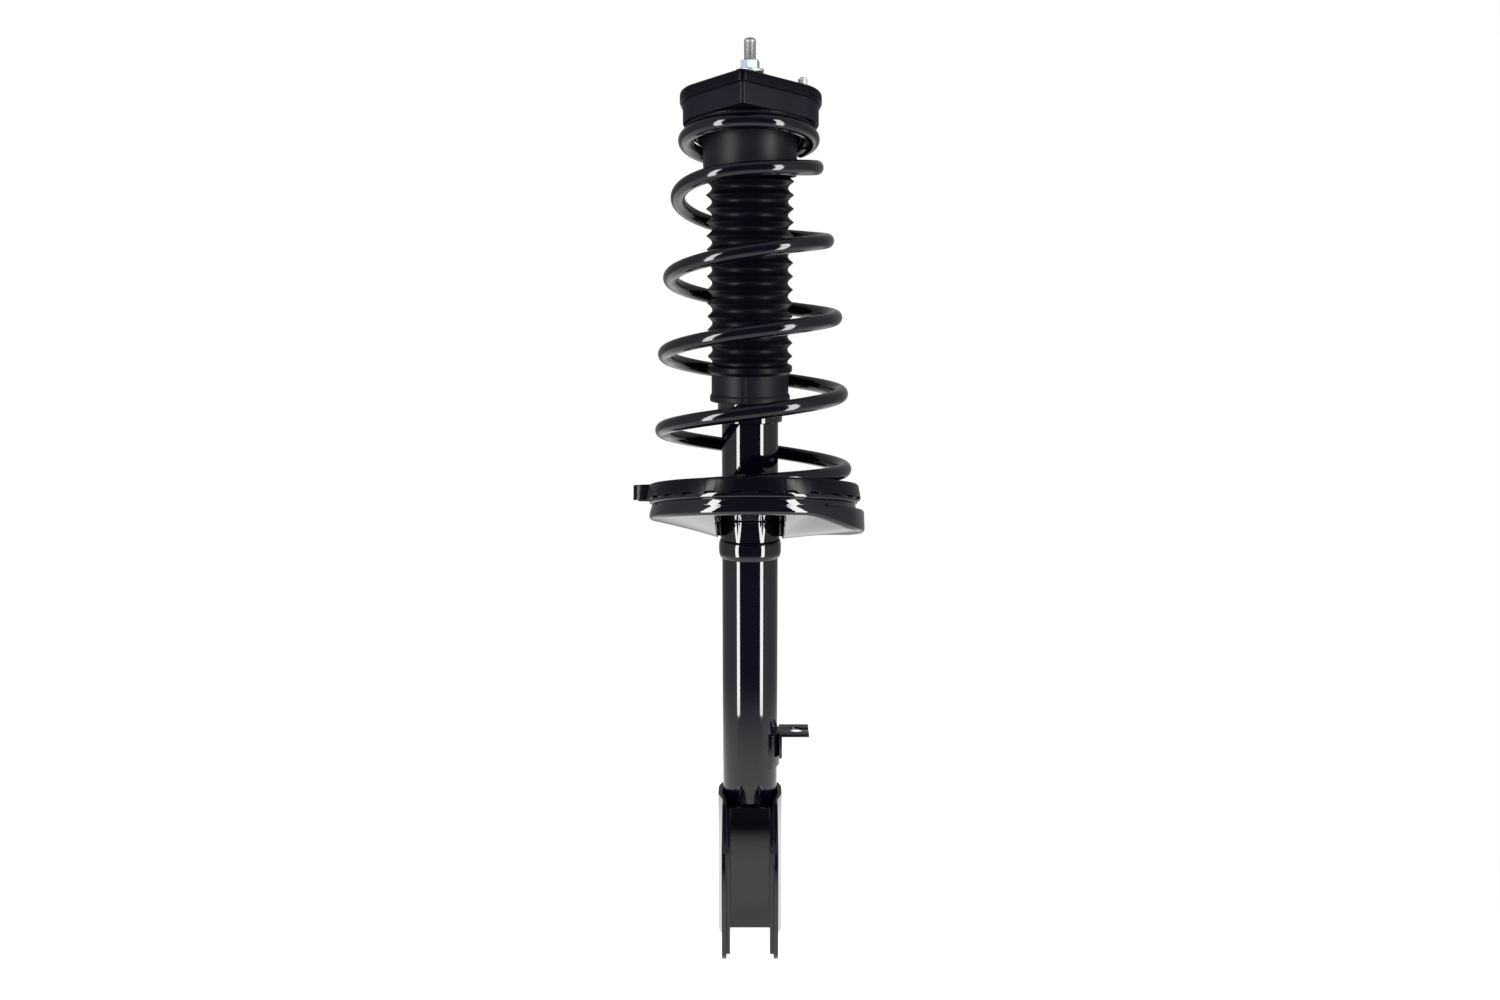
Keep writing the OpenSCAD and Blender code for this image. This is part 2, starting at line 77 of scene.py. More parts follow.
MM = 0.001
TAU = 2 * math.pi

# ---------------------------------------------------------------- sizes taken from the frame
TUBE_LOW, TUBE_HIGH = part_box("reserve_tube")
TUBE_R = round(TUBE_HIGH.x / MM, 3)
CAP_LOW, CAP_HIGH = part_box("tube_end_cap")
RING_LOW, RING_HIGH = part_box("seat_support_ring")
BOOT_BOTTOM_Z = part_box("dust_boot")[0].z / MM
NUT_LOW, NUT_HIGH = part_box("rod_nut")
WASHER_LOW, WASHER_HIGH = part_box("rod_washer")
ROD_LOW, ROD_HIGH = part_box("piston_rod")

# From here to the stage, bare sizes are in millimetres, angles in radians, and shares run from 0 to 1.
MOUNT_TILT = math.radians(12)
SEAT_TILT = math.radians(13.8)
MOUNT_FRAME = Matrix.Rotation(-MOUNT_TILT, 4, "X")
SEAT_CENTRE = Vector((3, -38, -331)) * MM
SEAT_FRAME = Matrix.Translation(SEAT_CENTRE) @ Matrix.Rotation(-SEAT_TILT, 4, "X")


# ---------------------------------------------------------------- mesh helpers
def make_object(name, vertices, faces, material, body=None, slot=None, replaces=(), sharp=35):
    """A closed, smooth-shaded mesh piece that rides on a body."""
    mesh = bpy.data.meshes.new(name)
    mesh.from_pydata([tuple(v) for v in vertices], [], faces)
    shell = bmesh.new()
    shell.from_mesh(mesh)
    bmesh.ops.recalc_face_normals(shell, faces=shell.faces)
    shell.to_mesh(mesh)
    shell.free()
    mesh.shade_smooth()
    mesh.set_sharp_from_angle(angle=math.radians(sharp))
    piece = bpy.data.objects.new(name, mesh)
    bpy.context.scene.collection.objects.link(piece)
    mesh.materials.append(material)
    if body:
        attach(piece, body)
    if replaces:
        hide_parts(*replaces)
    return piece


def skin(rings, closed):
    """Vertices and faces of a tube through rings of equal length; open tubes get flat ends."""
    rings = np.asarray(rings, float)
    count, around, _ = rings.shape
    vertices = rings.reshape(-1, 3)
    faces = []
    for k in range(count if closed else count - 1):
        here, after = k * around, (k + 1) % count * around
        for i in range(around):
            j = (i + 1) % around
            faces.append((here + i, here + j, after + j, after + i))
    if not closed:
        faces.append(tuple(reversed(range(around))))
        faces.append(tuple(range((count - 1) * around, count * around)))
    return vertices, faces


def filleted(corners, steps=5):
    """A closed outline of (a, b, fillet radius) corners, with each fillet drawn as an arc."""
    points = []
    for i, (a, b, radius) in enumerate(corners):
        here = Vector((a, b))
        if radius <= 0:
            points.append(here)
            continue
        before = Vector(corners[i - 1][:2]) - here
        after = Vector(corners[(i + 1) % len(corners)][:2]) - here
        half = before.angle(after) / 2
        reach = min(radius / math.tan(half), before.length * 0.49, after.length * 0.49)
        radius = reach * math.tan(half)
        start = here + before.normalized() * reach
        end = here + after.normalized() * reach
        centre = here + (before.normalized() + after.normalized()).normalized() * radius / math.sin(half)
        first, last = start - centre, end - centre
        turn = first.angle_signed(last)
        for k in range(steps + 1):
            points.append(centre + Matrix.Rotation(-turn * k / steps, 2) @ first)
    return [(p.x, p.y) for p in points]


def angles(count):
    """Evenly spaced angles round a circle, starting at +X."""
    return np.arange(count) * TAU / count


def placed(points, matrix):
    """Points moved by a matrix."""
    points = np.asarray(points, float)
    m = np.array(matrix)
    return points @ m[:3, :3].T + m[:3, 3]


def turned(outline, around=128, matrix=Matrix.Identity(4)):
    """Rings for a solid of revolution about Z: one ring for each (radius, height) of the outline."""
    a = angles(around)
    rings = [np.stack([r * np.cos(a), r * np.sin(a), np.full(around, z)], 1) for r, z in outline]
    return [placed(ring, matrix) for ring in rings]


def revolve(name, corners, material, around=128, **facts):
    """A solid of revolution from an outline in millimetres, its corners given as (r, z, fillet)."""
    outline = [(r * MM, z * MM) for r, z in filleted(corners)]
    vertices, faces = skin(turned(outline, around), True)
    return make_object(name, vertices, faces, material, **facts)


SAME_POINT = 0.002
FLAT_ANGLE, EDGE_ANGLE, SMOOTH_ANGLE = math.radians(1.0), math.radians(32), math.radians(40)


def refined(node, material, body, bevel):
    """A copy of a CAD node with its hard edges rounded, shown in the node's place."""
    source = frame["nodes"][node]
    mesh = source.data.copy()
    shell = bmesh.new()
    shell.from_mesh(mesh)
    bmesh.ops.remove_doubles(shell, verts=shell.verts, dist=SAME_POINT * MM)
    bmesh.ops.dissolve_limit(shell, angle_limit=FLAT_ANGLE, verts=shell.verts, edges=shell.edges)
    shell.to_mesh(mesh)
    shell.free()
    piece = bpy.data.objects.new(node + "_finish", mesh)
    bpy.context.scene.collection.objects.link(piece)
    rounding = piece.modifiers.new("edges", "BEVEL")
    rounding.width = bevel * MM
    rounding.segments = 3
    rounding.limit_method = "ANGLE"
    rounding.angle_limit = EDGE_ANGLE
    rounding.use_clamp_overlap = True
    graph = bpy.context.evaluated_depsgraph_get()
    done = bpy.data.meshes.new_from_object(piece.evaluated_get(graph))
    piece.modifiers.clear()
    piece.data = done
    done.materials.clear()
    done.materials.append(material)
    done.shade_smooth()
    done.set_sharp_from_angle(angle=SMOOTH_ANGLE)
    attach(piece, body)
    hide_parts(node)


# ---------------------------------------------------------------- materials
GRAIN_DEPTH = 0.05


def surface(name, colour, colour2, roughness, roughness2, metallic=0.0, grain=400.0, bump=0.1, patch=25.0,
            specular=0.5):
    """A procedural finish: colour and gloss vary in soft patches, and a fine grain stands proud."""
    material = bpy.data.materials.new(name)
    material.use_nodes = True
    nodes, links = material.node_tree.nodes, material.node_tree.links
    shader = nodes["Principled BSDF"]
    shader.inputs["Metallic"].default_value = metallic
    shader.inputs["Specular IOR Level"].default_value = specular
    place = nodes.new("ShaderNodeTexCoord")
    patches = nodes.new("ShaderNodeTexNoise")
    patches.inputs["Scale"].default_value = patch
    patches.inputs["Detail"].default_value = 6
    links.new(place.outputs["Object"], patches.inputs["Vector"])
    tint = nodes.new("ShaderNodeMix")
    tint.data_type = "RGBA"
    tint.inputs["A"].default_value = (*colour, 1)
    tint.inputs["B"].default_value = (*colour2, 1)
    links.new(patches.outputs["Fac"], tint.inputs["Factor"])
    links.new(tint.outputs["Result"], shader.inputs["Base Color"])
    gloss = nodes.new("ShaderNodeMapRange")
    gloss.inputs["From Min"].default_value = 0.3
    gloss.inputs["From Max"].default_value = 0.7
    gloss.inputs["To Min"].default_value = roughness
    gloss.inputs["To Max"].default_value = roughness2
    links.new(patches.outputs["Fac"], gloss.inputs["Value"])
    links.new(gloss.outputs["Result"], shader.inputs["Roughness"])
    grit = nodes.new("ShaderNodeTexNoise")
    grit.inputs["Scale"].default_value = grain
    grit.inputs["Detail"].default_value = 3
    links.new(place.outputs["Object"], grit.inputs["Vector"])
    relief = nodes.new("ShaderNodeBump")
    relief.inputs["Strength"].default_value = bump
    relief.inputs["Distance"].default_value = GRAIN_DEPTH * MM
    links.new(grit.outputs["Fac"], relief.inputs["Height"])
    links.new(relief.outputs["Normal"], shader.inputs["Normal"])
    return material


def grey(value, blue=1.0):
    """A grey; with blue above 1, a bluish one, as the photo's blacks are: the blue is painted, a tint that
    stands in for the bluish cast of the light.
    """
    return (value, value * (1 + (blue - 1) * -0.1), value * blue)


# The blue in the blacks' greys is painted light: the bluish cast of the light is put into their base colour.
FINISHES = {
    "gloss_black_steel": surface("gloss_black_steel", grey(0.0010, 2.6), grey(0.0016, 2.6), 0.030, 0.036,
                                 grain=120, bump=0.001, patch=9),
    "spring_coating": surface("spring_coating", grey(0.0010, 2.6), grey(0.0016, 2.6), 0.07, 0.11,
                              grain=300, bump=0.02, specular=0.36),
    "satin_black_steel": surface("satin_black_steel", grey(0.0028, 1.9), grey(0.0040, 1.9), 0.36, 0.46,
                                 grain=1400, bump=0.12, specular=0.10),
    # Painted shade: a darker copy of satin_black_steel, for the mount plate and the upper spring seat.
    "shaded_satin_black_steel": surface("shaded_satin_black_steel", grey(0.0008, 2.6), grey(0.0014, 2.6), 0.30, 0.40,
                                 grain=1400, bump=0.1, specular=0.07),
    "black_rubber": surface("black_rubber", grey(0.004, 1.3), grey(0.006, 1.3), 0.6, 0.7,
                            grain=1800, bump=0.3, specular=0.06),
    "cup_rubber": surface("cup_rubber", grey(0.0022, 1.8), grey(0.0032, 1.8), 0.40, 0.50,
                          grain=1500, bump=0.15, specular=0.15),
    "boot_rubber": surface("boot_rubber", grey(0.0010, 2.2), grey(0.0016, 2.2), 0.34, 0.42,
                           grain=1500, bump=0.15, specular=0.08),
    "isolator_rubber": surface("isolator_rubber", grey(0.0010, 2.4), grey(0.0016, 2.4), 0.20, 0.26,
                               grain=900, bump=0.02, specular=0.12),
    "urethane_foam": surface("urethane_foam", (0.5, 0.4, 0.22), (0.6, 0.5, 0.3), 0.8, 0.95,
                             grain=900, bump=0.6),
    "rod_steel": surface("rod_steel", grey(0.24), grey(0.32), 0.42, 0.52, metallic=0.9, grain=900, bump=0.1),
    "plain_steel": surface("plain_steel", grey(0.32), grey(0.42), 0.3, 0.45, metallic=1,
                           grain=900, bump=0.15),
    "zinc_plate": surface("zinc_plate", (0.42, 0.47, 0.46), (0.50, 0.54, 0.50), 0.46, 0.56,
                          metallic=1, grain=700, bump=0.15),
    "blue_zinc_plate": surface("blue_zinc_plate", (0.36, 0.43, 0.54), (0.43, 0.49, 0.59), 0.5, 0.6,
                               metallic=1, grain=700, bump=0.12),
    "sintered_iron": surface("sintered_iron", grey(0.2), grey(0.28), 0.5, 0.65, metallic=1,
                             grain=2500, bump=0.4),
    "bush_bronze": surface("bush_bronze", (0.48, 0.3, 0.14), (0.56, 0.37, 0.18), 0.3, 0.4,
                           metallic=1, grain=800, bump=0.1),
    "piston_band": surface("piston_band", (0.26, 0.17, 0.08), (0.32, 0.22, 0.12), 0.5, 0.6),
}


def finish_cad_nodes():
    """Every CAD node takes its record slot's finish."""
    for row in frame["record"]["subparts"]:
        node = frame["nodes"][row["node"]]
        finish = FINISHES[row["material_slot"]]
        node.data.materials.clear()
        node.data.materials.append(finish)


# ---------------------------------------------------------------- coil spring
WIRE_R = 6.05
COIL_TOP_Z, COIL_BOTTOM_Z = -38.4, -329.0
COIL_TOP_R, COIL_BOTTOM_R = 52.2, 75.9
COIL_TOP_CENTRE, COIL_BOTTOM_CENTRE = np.array([-0.8, 0.0]), np.array([2.8, -38.0])
COIL_PITCH, COIL_LINE_TOP, COIL_END_BLEND = 62.2, 4.75, 7.0
COIL_TOP_TURN, COIL_TURNS = -0.1, 6.0
COIL_BULGE = 0.9
# Degrees that the turns slope by, how much more they do at each end, and how soon that fades.
SLOPE, TOP_SLOPE, BOTTOM_SLOPE = 5.5, 6.5, 8.3
TOP_SLOPE_FADE, BOTTOM_SLOPE_FADE = 0.14, 0.08
# The turn that leans sideways as it leaves the top end coil: degrees, where, and over what share.
LEAN, LEAN_AT, LEAN_SPREAD = 6, 0.12, 0.06
TURN_STEP = 0.002


def ramp(x):
    """0 well below x = 0 and x well above it, with a smooth bend between."""
    return COIL_END_BLEND * math.log1p(math.exp(x / COIL_END_BLEND))


def coil_part(turn):
    """How far down the spring, from 0 at its top end coil to 1 at its bottom one."""
    line = COIL_LINE_TOP - COIL_PITCH * turn
    open_z = COIL_TOP_Z - ramp(COIL_TOP_Z - line)
    z = COIL_BOTTOM_Z + ramp(open_z - COIL_BOTTOM_Z)
    return (COIL_TOP_Z - z) / (COIL_TOP_Z - COIL_BOTTOM_Z)


def coil_point(turn):
    """Centre of the wire after that many turns down, and the centre of its turn."""
    part = coil_part(turn)
    radius = COIL_TOP_R + (COIL_BOTTOM_R - COIL_TOP_R) * ((1 + COIL_BULGE) * part - COIL_BULGE * part * part)
    extra = BOTTOM_SLOPE * math.exp((part - 1) / BOTTOM_SLOPE_FADE)
    tilt = math.radians(SLOPE + TOP_SLOPE * math.exp(-part / TOP_SLOPE_FADE) + extra)
    lean = math.radians(LEAN * math.exp(-((part - LEAN_AT) / LEAN_SPREAD) ** 2))
    centre = COIL_TOP_CENTRE + (COIL_BOTTOM_CENTRE - COIL_TOP_CENTRE) * part
    across, forth = radius * math.cos(-TAU * turn), radius * math.sin(-TAU * turn)
    z = COIL_TOP_Z + (COIL_BOTTOM_Z - COIL_TOP_Z) * part - forth * math.sin(tilt) - across * math.sin(lean)
    return np.array([centre[0] + across, centre[1] + forth * math.cos(tilt), z]), centre


def wire_ring(turn, around, radius, push=0.0):
    """A ring of points round the wire, moved along it by push."""
    point, centre = coil_point(turn)
    along = coil_point(turn + TURN_STEP)[0] - coil_point(turn - TURN_STEP)[0]
    along /= np.linalg.norm(along)
    outward = np.array([point[0] - centre[0], point[1] - centre[1], 0.0])
    outward -= along * outward.dot(along)
    outward /= np.linalg.norm(outward)
    side = np.cross(along, outward)
    a = angles(around)[:, None]
    return (point + along * push + radius * (np.cos(a) * outward + np.sin(a) * side)) * MM


def make_coil():
    """The spring's wire, with chamfered ends."""
    around, per_turn, chamfer = 28, 72, 1.2
    count = int(COIL_TURNS * per_turn)
    turns = [COIL_TOP_TURN + COIL_TURNS * k / count for k in range(count + 1)]
    rings = [wire_ring(t, around, WIRE_R) for t in turns]
    rings[0] = wire_ring(turns[0], around, WIRE_R, chamfer)
    rings[-1] = wire_ring(turns[-1], around, WIRE_R, -chamfer)
    rings.insert(0, wire_ring(turns[0], around, WIRE_R - chamfer))
    rings.append(wire_ring(turns[-1], around, WIRE_R - chamfer))
    parts = [coil_part(t) for t in [turns[0], *turns, turns[-1]]]
    vertices, faces = skin(rings, False)
    coil = make_object("coil_spring_wire", vertices, faces, FINISHES["spring_coating"],
                       slot="spring_coating", replaces=["coil_spring"])
    stretch_between(coil, np.repeat([1 - p for p in parts], around), COIL_BOTTOM_Z, COIL_TOP_Z)


def stretch_between(piece, top_share, low_z, high_z):
    """The piece spans the stroke: each point follows the mount by its own share, ring by ring."""
    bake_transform(piece, "damper", "top_mount", start=(0, 0, low_z * MM), end=(0, 0, high_z * MM))
    weights = piece.data.attributes["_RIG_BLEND"]
    weights.data.foreach_set("value", np.clip(top_share, 0, 1).astype(np.float32))


# ---------------------------------------------------------------- dust boot
BOOT_FOLDS = 14
BOOT_TIP_R, BOOT_VALLEY_R, BOOT_WALL = 36.8, 31.8, 1.4
FOLD_TOP_Z, FOLD_BOTTOM_Z = -66.0, -221.0
FOLD_SWELL, FOLD_SOFTNESS, TIP_SHRINK = 1.1, 0.012, 1.0
BOOT_TOP_Z, COLLAR_R = -60.0, 33.6
CUFF_TOP_Z, CUFF_SEAM_ANGLE = -229.5, math.radians(-98.4)
CUFF_R, CUFF_NECK_R, CUFF_BEAD_R, CUFF_CLEARANCE = 34, 32.6, 35.6, 0.3
SEAM_HALF_ANGLE, SEAM_DEPTH, CUFF_OUTSIDE_R = 0.02, 0.5, 31


def make_boot():
    """The bellows and its plain cuff, which has a mould seam near the front."""
    around, steps = 128, 12
    pitch = (FOLD_TOP_Z - FOLD_BOTTOM_Z) / BOOT_FOLDS
    count = BOOT_FOLDS * steps

    def fold_r(k, wall):
        """Sharp tips and rounded valleys; the tips shrink a little towards the cuff."""
        wave = FOLD_SWELL * (1 - math.sqrt(math.cos(math.pi * k / steps) ** 2 + FOLD_SOFTNESS))
        tip = BOOT_TIP_R - TIP_SHRINK * (1 - k / count)
        return BOOT_VALLEY_R + (tip - BOOT_VALLEY_R) * wave - wall

    outer = [(fold_r(k, 0), FOLD_BOTTOM_Z + pitch * k / steps) for k in range(count + 1)]
    inner = [(fold_r(k, BOOT_WALL), FOLD_BOTTOM_Z + pitch * k / steps) for k in range(count, -1, -1)]
    bottom = BOOT_BOTTOM_Z
    bore = CAP_HIGH.x / MM + CUFF_CLEARANCE
    cuff = filleted([(bore, bottom, 0.5), (CUFF_R, bottom, 1.2), (CUFF_R, bottom + 4.6, 1.2),
                     (CUFF_NECK_R, bottom + 6.6, 1.0), (CUFF_NECK_R, CUFF_TOP_Z - 1.0, 1.2),
                     (CUFF_BEAD_R, CUFF_TOP_Z + 1.5, 1.4), (CUFF_BEAD_R, CUFF_TOP_Z + 5.9, 1.2),
                     (BOOT_VALLEY_R + 0.2, FOLD_BOTTOM_Z - 0.6, 0.4)], 4)
    top = [(BOOT_VALLEY_R, FOLD_TOP_Z + 1.5), (COLLAR_R, FOLD_TOP_Z + 3), (COLLAR_R, BOOT_TOP_Z - 0.6),
           (COLLAR_R - 0.6, BOOT_TOP_Z), (BOOT_VALLEY_R - BOOT_WALL, BOOT_TOP_Z)]
    outline = [*cuff, *outer[1:], *top, *inner[1:], (BOOT_VALLEY_R - BOOT_WALL, -228.0), (bore, -230.0)]
    vertices, faces = skin(turned([(r * MM, z * MM) for r, z in outline], around), True)
    boot = make_object("dust_boot_bellows", vertices, faces, FINISHES["boot_rubber"],
                       slot="boot_rubber", replaces=["dust_boot"], sharp=60)
    boot.data.materials.append(FINISHES["cup_rubber"])
    for face in boot.data.polygons:
        if face.center.z < CUFF_TOP_Z * MM:
            face.material_index = 1
    for vertex in boot.data.vertices:
        off_seam = math.atan2(vertex.co.y, vertex.co.x) - CUFF_SEAM_ANGLE
        on_seam = vertex.co.z < CUFF_TOP_Z * MM and abs(off_seam) < SEAM_HALF_ANGLE
        if on_seam and vertex.co.xy.length > CUFF_OUTSIDE_R * MM:
            vertex.co.xy *= 1 - SEAM_DEPTH * MM / vertex.co.xy.length
    heights = np.array([v.co.z for v in boot.data.vertices]) / MM
    share = (heights - FOLD_BOTTOM_Z) / (FOLD_TOP_Z - FOLD_BOTTOM_Z)
    stretch_between(boot, share, FOLD_BOTTOM_Z, FOLD_TOP_Z)


# ---------------------------------------------------------------- top mount
MOUNT_SHEET = 2.5
STUD_ANGLE, STUD_REACH, STUD_HOLE_R = math.radians(30), 51.0, 4.6
NUT_ANGLES, NUT_REACH, NUT_HOLE_R = (math.radians(150), math.radians(264)), 43.0, 4.25
PLATE_FLAT, PLATE_HOLE_R, RIM_BOTTOM_Z = 12, 27, -10
HOUSING_HOLE_R, SKIRT_TOP_Z, SKIRT_BOTTOM_Z = 26, -3.2, -28
# The outline is drawn round five circles, each given as (x, y, radius); the first is the blunt corner.
MOUNT_CORNERS = ((-5.8, -53.4, 5.7), (27, 4, 32), (33, 19, 24), (-32, 17, 24), (-25.5, 0.5, 32))


def mount_loop(inset, height, circle_r=None):
    """The mount's rounded outline drawn in by inset, or a circle with matching points."""
    centres = [(Vector((x, y)), r - inset) for x, y, r in MOUNT_CORNERS]
    normals = []
    for i, (a, ra) in enumerate(centres):
        b, rb = centres[(i + 1) % len(centres)]
        to = b - a
        lean = math.asin((ra - rb) / to.length)
        normals.append(math.atan2(to.y, to.x) - math.pi / 2 + lean)
    points = []
    for i, (c, r) in enumerate(centres):
        start, end = normals[i - 1], normals[i]
        while end < start:
            end += TAU
        steps = 14 if i == 0 else 18
        for k in range(steps + 1):
            a = start + (end - start) * k / steps
            points.append(c + Vector((math.cos(a), math.sin(a))) * r)
        b, rb = centres[(i + 1) % len(centres)]
        last = points[-1]
        first = b + Vector((math.cos(end), math.sin(end))) * rb
        points += [last.lerp(first, s / 7) for s in range(1, 7)]
    if circle_r is not None:
        points = [p.normalized() * circle_r for p in points]
    return placed([(p.x * MM, p.y * MM, height * MM) for p in points], MOUNT_FRAME)


def make_mount():
    """The plate with its folded rim and three holes, and the housing that is pressed into it."""
    rim = filleted([(PLATE_FLAT, -MOUNT_SHEET, 0), (MOUNT_SHEET, -MOUNT_SHEET, 2.2),
                    (MOUNT_SHEET, RIM_BOTTOM_Z, 0.6),
                    (0, RIM_BOTTOM_Z, 0.8), (0, 0, 3.6), (PLATE_FLAT, 0, 0)], 6)
    lip = [(PLATE_HOLE_R + 2, 0), (PLATE_HOLE_R + 0.6, -0.2), (PLATE_HOLE_R, -0.8), (PLATE_HOLE_R, -2.0),
           (PLATE_HOLE_R + 0.6, -MOUNT_SHEET)]
    rings = [mount_loop(inset, z) for inset, z in rim[1:-1]] + [mount_loop(0, z, r) for r, z in lip]
    vertices, faces = skin(rings, True)
    # The plate takes the darker satin copy, so its top band reads darker: painted shade.
    plate = make_object("mount_plate_pressing", vertices, faces, FINISHES["shaded_satin_black_steel"],
                        body="top_mount", slot="satin_black_steel", replaces=["mount_plate"])
    drill(plate, STUD_ANGLE, STUD_REACH, STUD_HOLE_R)
    for angle in NUT_ANGLES:
        drill(plate, angle, NUT_REACH, NUT_HOLE_R)

    inside_z = SKIRT_BOTTOM_Z + MOUNT_SHEET
    skirt = filleted([(MOUNT_SHEET, SKIRT_BOTTOM_Z, 2.4), (MOUNT_SHEET, SKIRT_TOP_Z, 0),
                      (2 * MOUNT_SHEET, SKIRT_TOP_Z, 0),
                      (2 * MOUNT_SHEET, inside_z, 1.5)], 5)
    wall = [mount_loop(inset, z) for inset, z in skirt]
    edge = ((HOUSING_HOLE_R + 0.6, inside_z), (HOUSING_HOLE_R, inside_z - 0.5),
            (HOUSING_HOLE_R, SKIRT_BOTTOM_Z + 0.5), (HOUSING_HOLE_R + 0.6, SKIRT_BOTTOM_Z))
    floor = [mount_loop(0, z, r) for r, z in edge]
    vertices, faces = skin([*wall, *floor], True)
    make_object("mount_housing_pressing", vertices, faces, FINISHES["satin_black_steel"], body="top_mount",
                slot="satin_black_steel", replaces=["mount_housing"])


def drill(piece, angle, reach, radius):
    """Cuts one round fixing hole through the mount's top plate."""
    centre = (reach * math.cos(angle) * MM, reach * math.sin(angle) * MM)
    hole = [(radius * MM, z * MM) for z in (-6, 5)]
    rings = turned(hole, 40, MOUNT_FRAME @ Matrix.Translation((*centre, 0)))
    vertices, faces = skin(rings, False)
    cutter = make_object("cutter", vertices, faces, FINISHES["satin_black_steel"])
    cut = piece.modifiers.new("hole", "BOOLEAN")
    cut.object = cutter
    cut.operation = "DIFFERENCE"
    cut.solver = "EXACT"
    graph = bpy.context.evaluated_depsgraph_get()
    piece.data = bpy.data.meshes.new_from_object(piece.evaluated_get(graph))
    piece.modifiers.clear()
    piece.data.shade_smooth()
    piece.data.set_sharp_from_angle(angle=math.radians(35))
    bpy.data.objects.remove(cutter)


# ---------------------------------------------------------------- threads, nut and washer
ROD_R, ROD_SHOULDER_Z, ROD_NECK_Z, ROD_THREAD_Z = 10, -26, -430, 12
ROD_THREAD_R, STUD_R, THREAD_PITCH, THREAD_DEPTH = 5, 4, 1.25, 0.35
ROD_DOME = 3
STUD_NECK_R, STUD_TOP_Z = 3.9, 20
NUT_FLAT_R, WASHER_R, WASHER_HOLE_R = 7.0, 11.5, 5.2


def threaded_rings(low, high, radius, around, matrix=Matrix.Identity(4)):
    """Rings of a screw thread; its grooves fade out over one pitch at each end."""
    a = angles(around)
    pitch = THREAD_PITCH
    rings = []
    steps = int((high - low) / (pitch / 8))
    for k in range(steps + 1):
        z = low + (high - low) * k / steps
        wave = np.abs(((z / pitch - a / TAU) % 1.0) * 2 - 1)
        fade = min(1, (z - low) / pitch, (high - z) / pitch)
        r = radius - THREAD_DEPTH * fade * np.clip(wave * 1.25 - 0.12, 0, 1)
        ring = np.stack([r * np.cos(a), r * np.sin(a), np.full(around, z)], 1) * MM
        rings.append(placed(ring, matrix))
    return rings


def make_rod():
    """The rod with its threaded top end and the neck that holds the piston."""
    around = 48
    low = ROD_LOW.z / MM
    shaft = filleted([(0.01, low, 0), (ROD_THREAD_R, low, 0.6), (ROD_THREAD_R, ROD_NECK_Z, 0.3),
                      (ROD_R, ROD_NECK_Z, 0.8), (ROD_R, ROD_SHOULDER_Z, 0.6),
                      (ROD_THREAD_R, ROD_SHOULDER_Z, 0.3), (ROD_THREAD_R, ROD_THREAD_Z, 0)], 4)
    lower = [(r * MM, z * MM) for r, z in shaft]
    thread_top = ROD_HIGH.z / MM - ROD_DOME
    dome = [(ROD_THREAD_R * math.cos(b), thread_top + ROD_DOME * math.sin(b))
            for b in np.linspace(0.15, 1.5, 9)]
    rings = [*turned(lower, around), *threaded_rings(ROD_THREAD_Z + 0.2, thread_top, ROD_THREAD_R, around),
             *turned([(r * MM, z * MM) for r, z in dome], around)]
    vertices, faces = skin(rings, False)
    make_object("piston_rod_shaft", vertices, faces, FINISHES["rod_steel"], body="top_mount",
                slot="rod_steel", replaces=["piston_rod"])


def make_stud():
    """The stud at the mount's back right, whose neck fills the plate's hole."""
    spot = Vector((math.cos(STUD_ANGLE), math.sin(STUD_ANGLE), 0)) * STUD_REACH * MM
    matrix = MOUNT_FRAME @ Matrix.Translation(spot)
    around = 40
    head = [(STUD_NECK_R, -5.5), (STUD_NECK_R, -2.6), (STUD_HOLE_R, -MOUNT_SHEET),
            (STUD_HOLE_R, 0), (STUD_R, 0), (STUD_R, 1)]
    tip = [(STUD_NECK_R, STUD_TOP_Z - 1.1), (3, STUD_TOP_Z)]
    rings = [*turned([(r * MM, z * MM) for r, z in head], around, matrix),
             *threaded_rings(1.2, STUD_TOP_Z - 1.4, STUD_R, around, matrix),
             *turned([(r * MM, z * MM) for r, z in tip], around, matrix)]
    vertices, faces = skin(rings, False)
    make_object("mount_stud_thread", vertices, faces, FINISHES["zinc_plate"], body="top_mount",
                slot="zinc_plate", replaces=["mount_stud"])


def make_nut():
    """A hexagon whose corners are cut back by a cone at both ends."""
    low, high = NUT_LOW.z / MM, NUT_HIGH.z / MM
    corner = NUT_FLAT_R / math.cos(math.pi / 6)
    around = 96
    a = angles(around)
    hexagon = NUT_FLAT_R / np.cos((a - math.radians(15)) % (math.pi / 3) - math.pi / 6)
    outer = []
    for s in np.linspace(0, 1, 25):
        z = low + (high - low) * s
        edge = min(z - low, high - z)
        limit = NUT_FLAT_R - 0.15 + edge * 1.75
        r = np.minimum(hexagon, min(limit, corner))
        outer.append(np.stack([r * np.cos(a), r * np.sin(a), np.full(around, z)], 1) * MM)
    bore = turned([(5.45 * MM, high * MM), (5.02 * MM, (high - 0.5) * MM), (5.02 * MM, (low + 0.5) * MM),
                   (5.45 * MM, low * MM)], around)
    vertices, faces = skin([*outer, *bore], True)
    make_object("rod_nut_hexagon", vertices, faces, FINISHES["blue_zinc_plate"], body="top_mount",
                slot="blue_zinc_plate", replaces=["rod_nut"], sharp=28)


def make_washer():
    """The washer under the rod nut."""
    low, high = WASHER_LOW.z / MM, WASHER_HIGH.z / MM
    revolve("rod_washer_disc", [(WASHER_HOLE_R, low, 0.2), (WASHER_R, low, 0.5), (WASHER_R, high, 0.5),
                                (WASHER_HOLE_R, high, 0.2)],
            FINISHES["zinc_plate"], around=72, body="top_mount", slot="zinc_plate", replaces=["rod_washer"])


# ---------------------------------------------------------------- bumper cup
CUP_HOLE_R, CUP_TOP_R, CUP_MOUTH_R, CUP_INSIDE_R = 12, 39.4, 38.6, 35.4
CUP_TOP_Z, CUP_CEILING_Z, CUP_MOUTH_Z = -15, -44, -68
CUP_DEPTH = 28.3


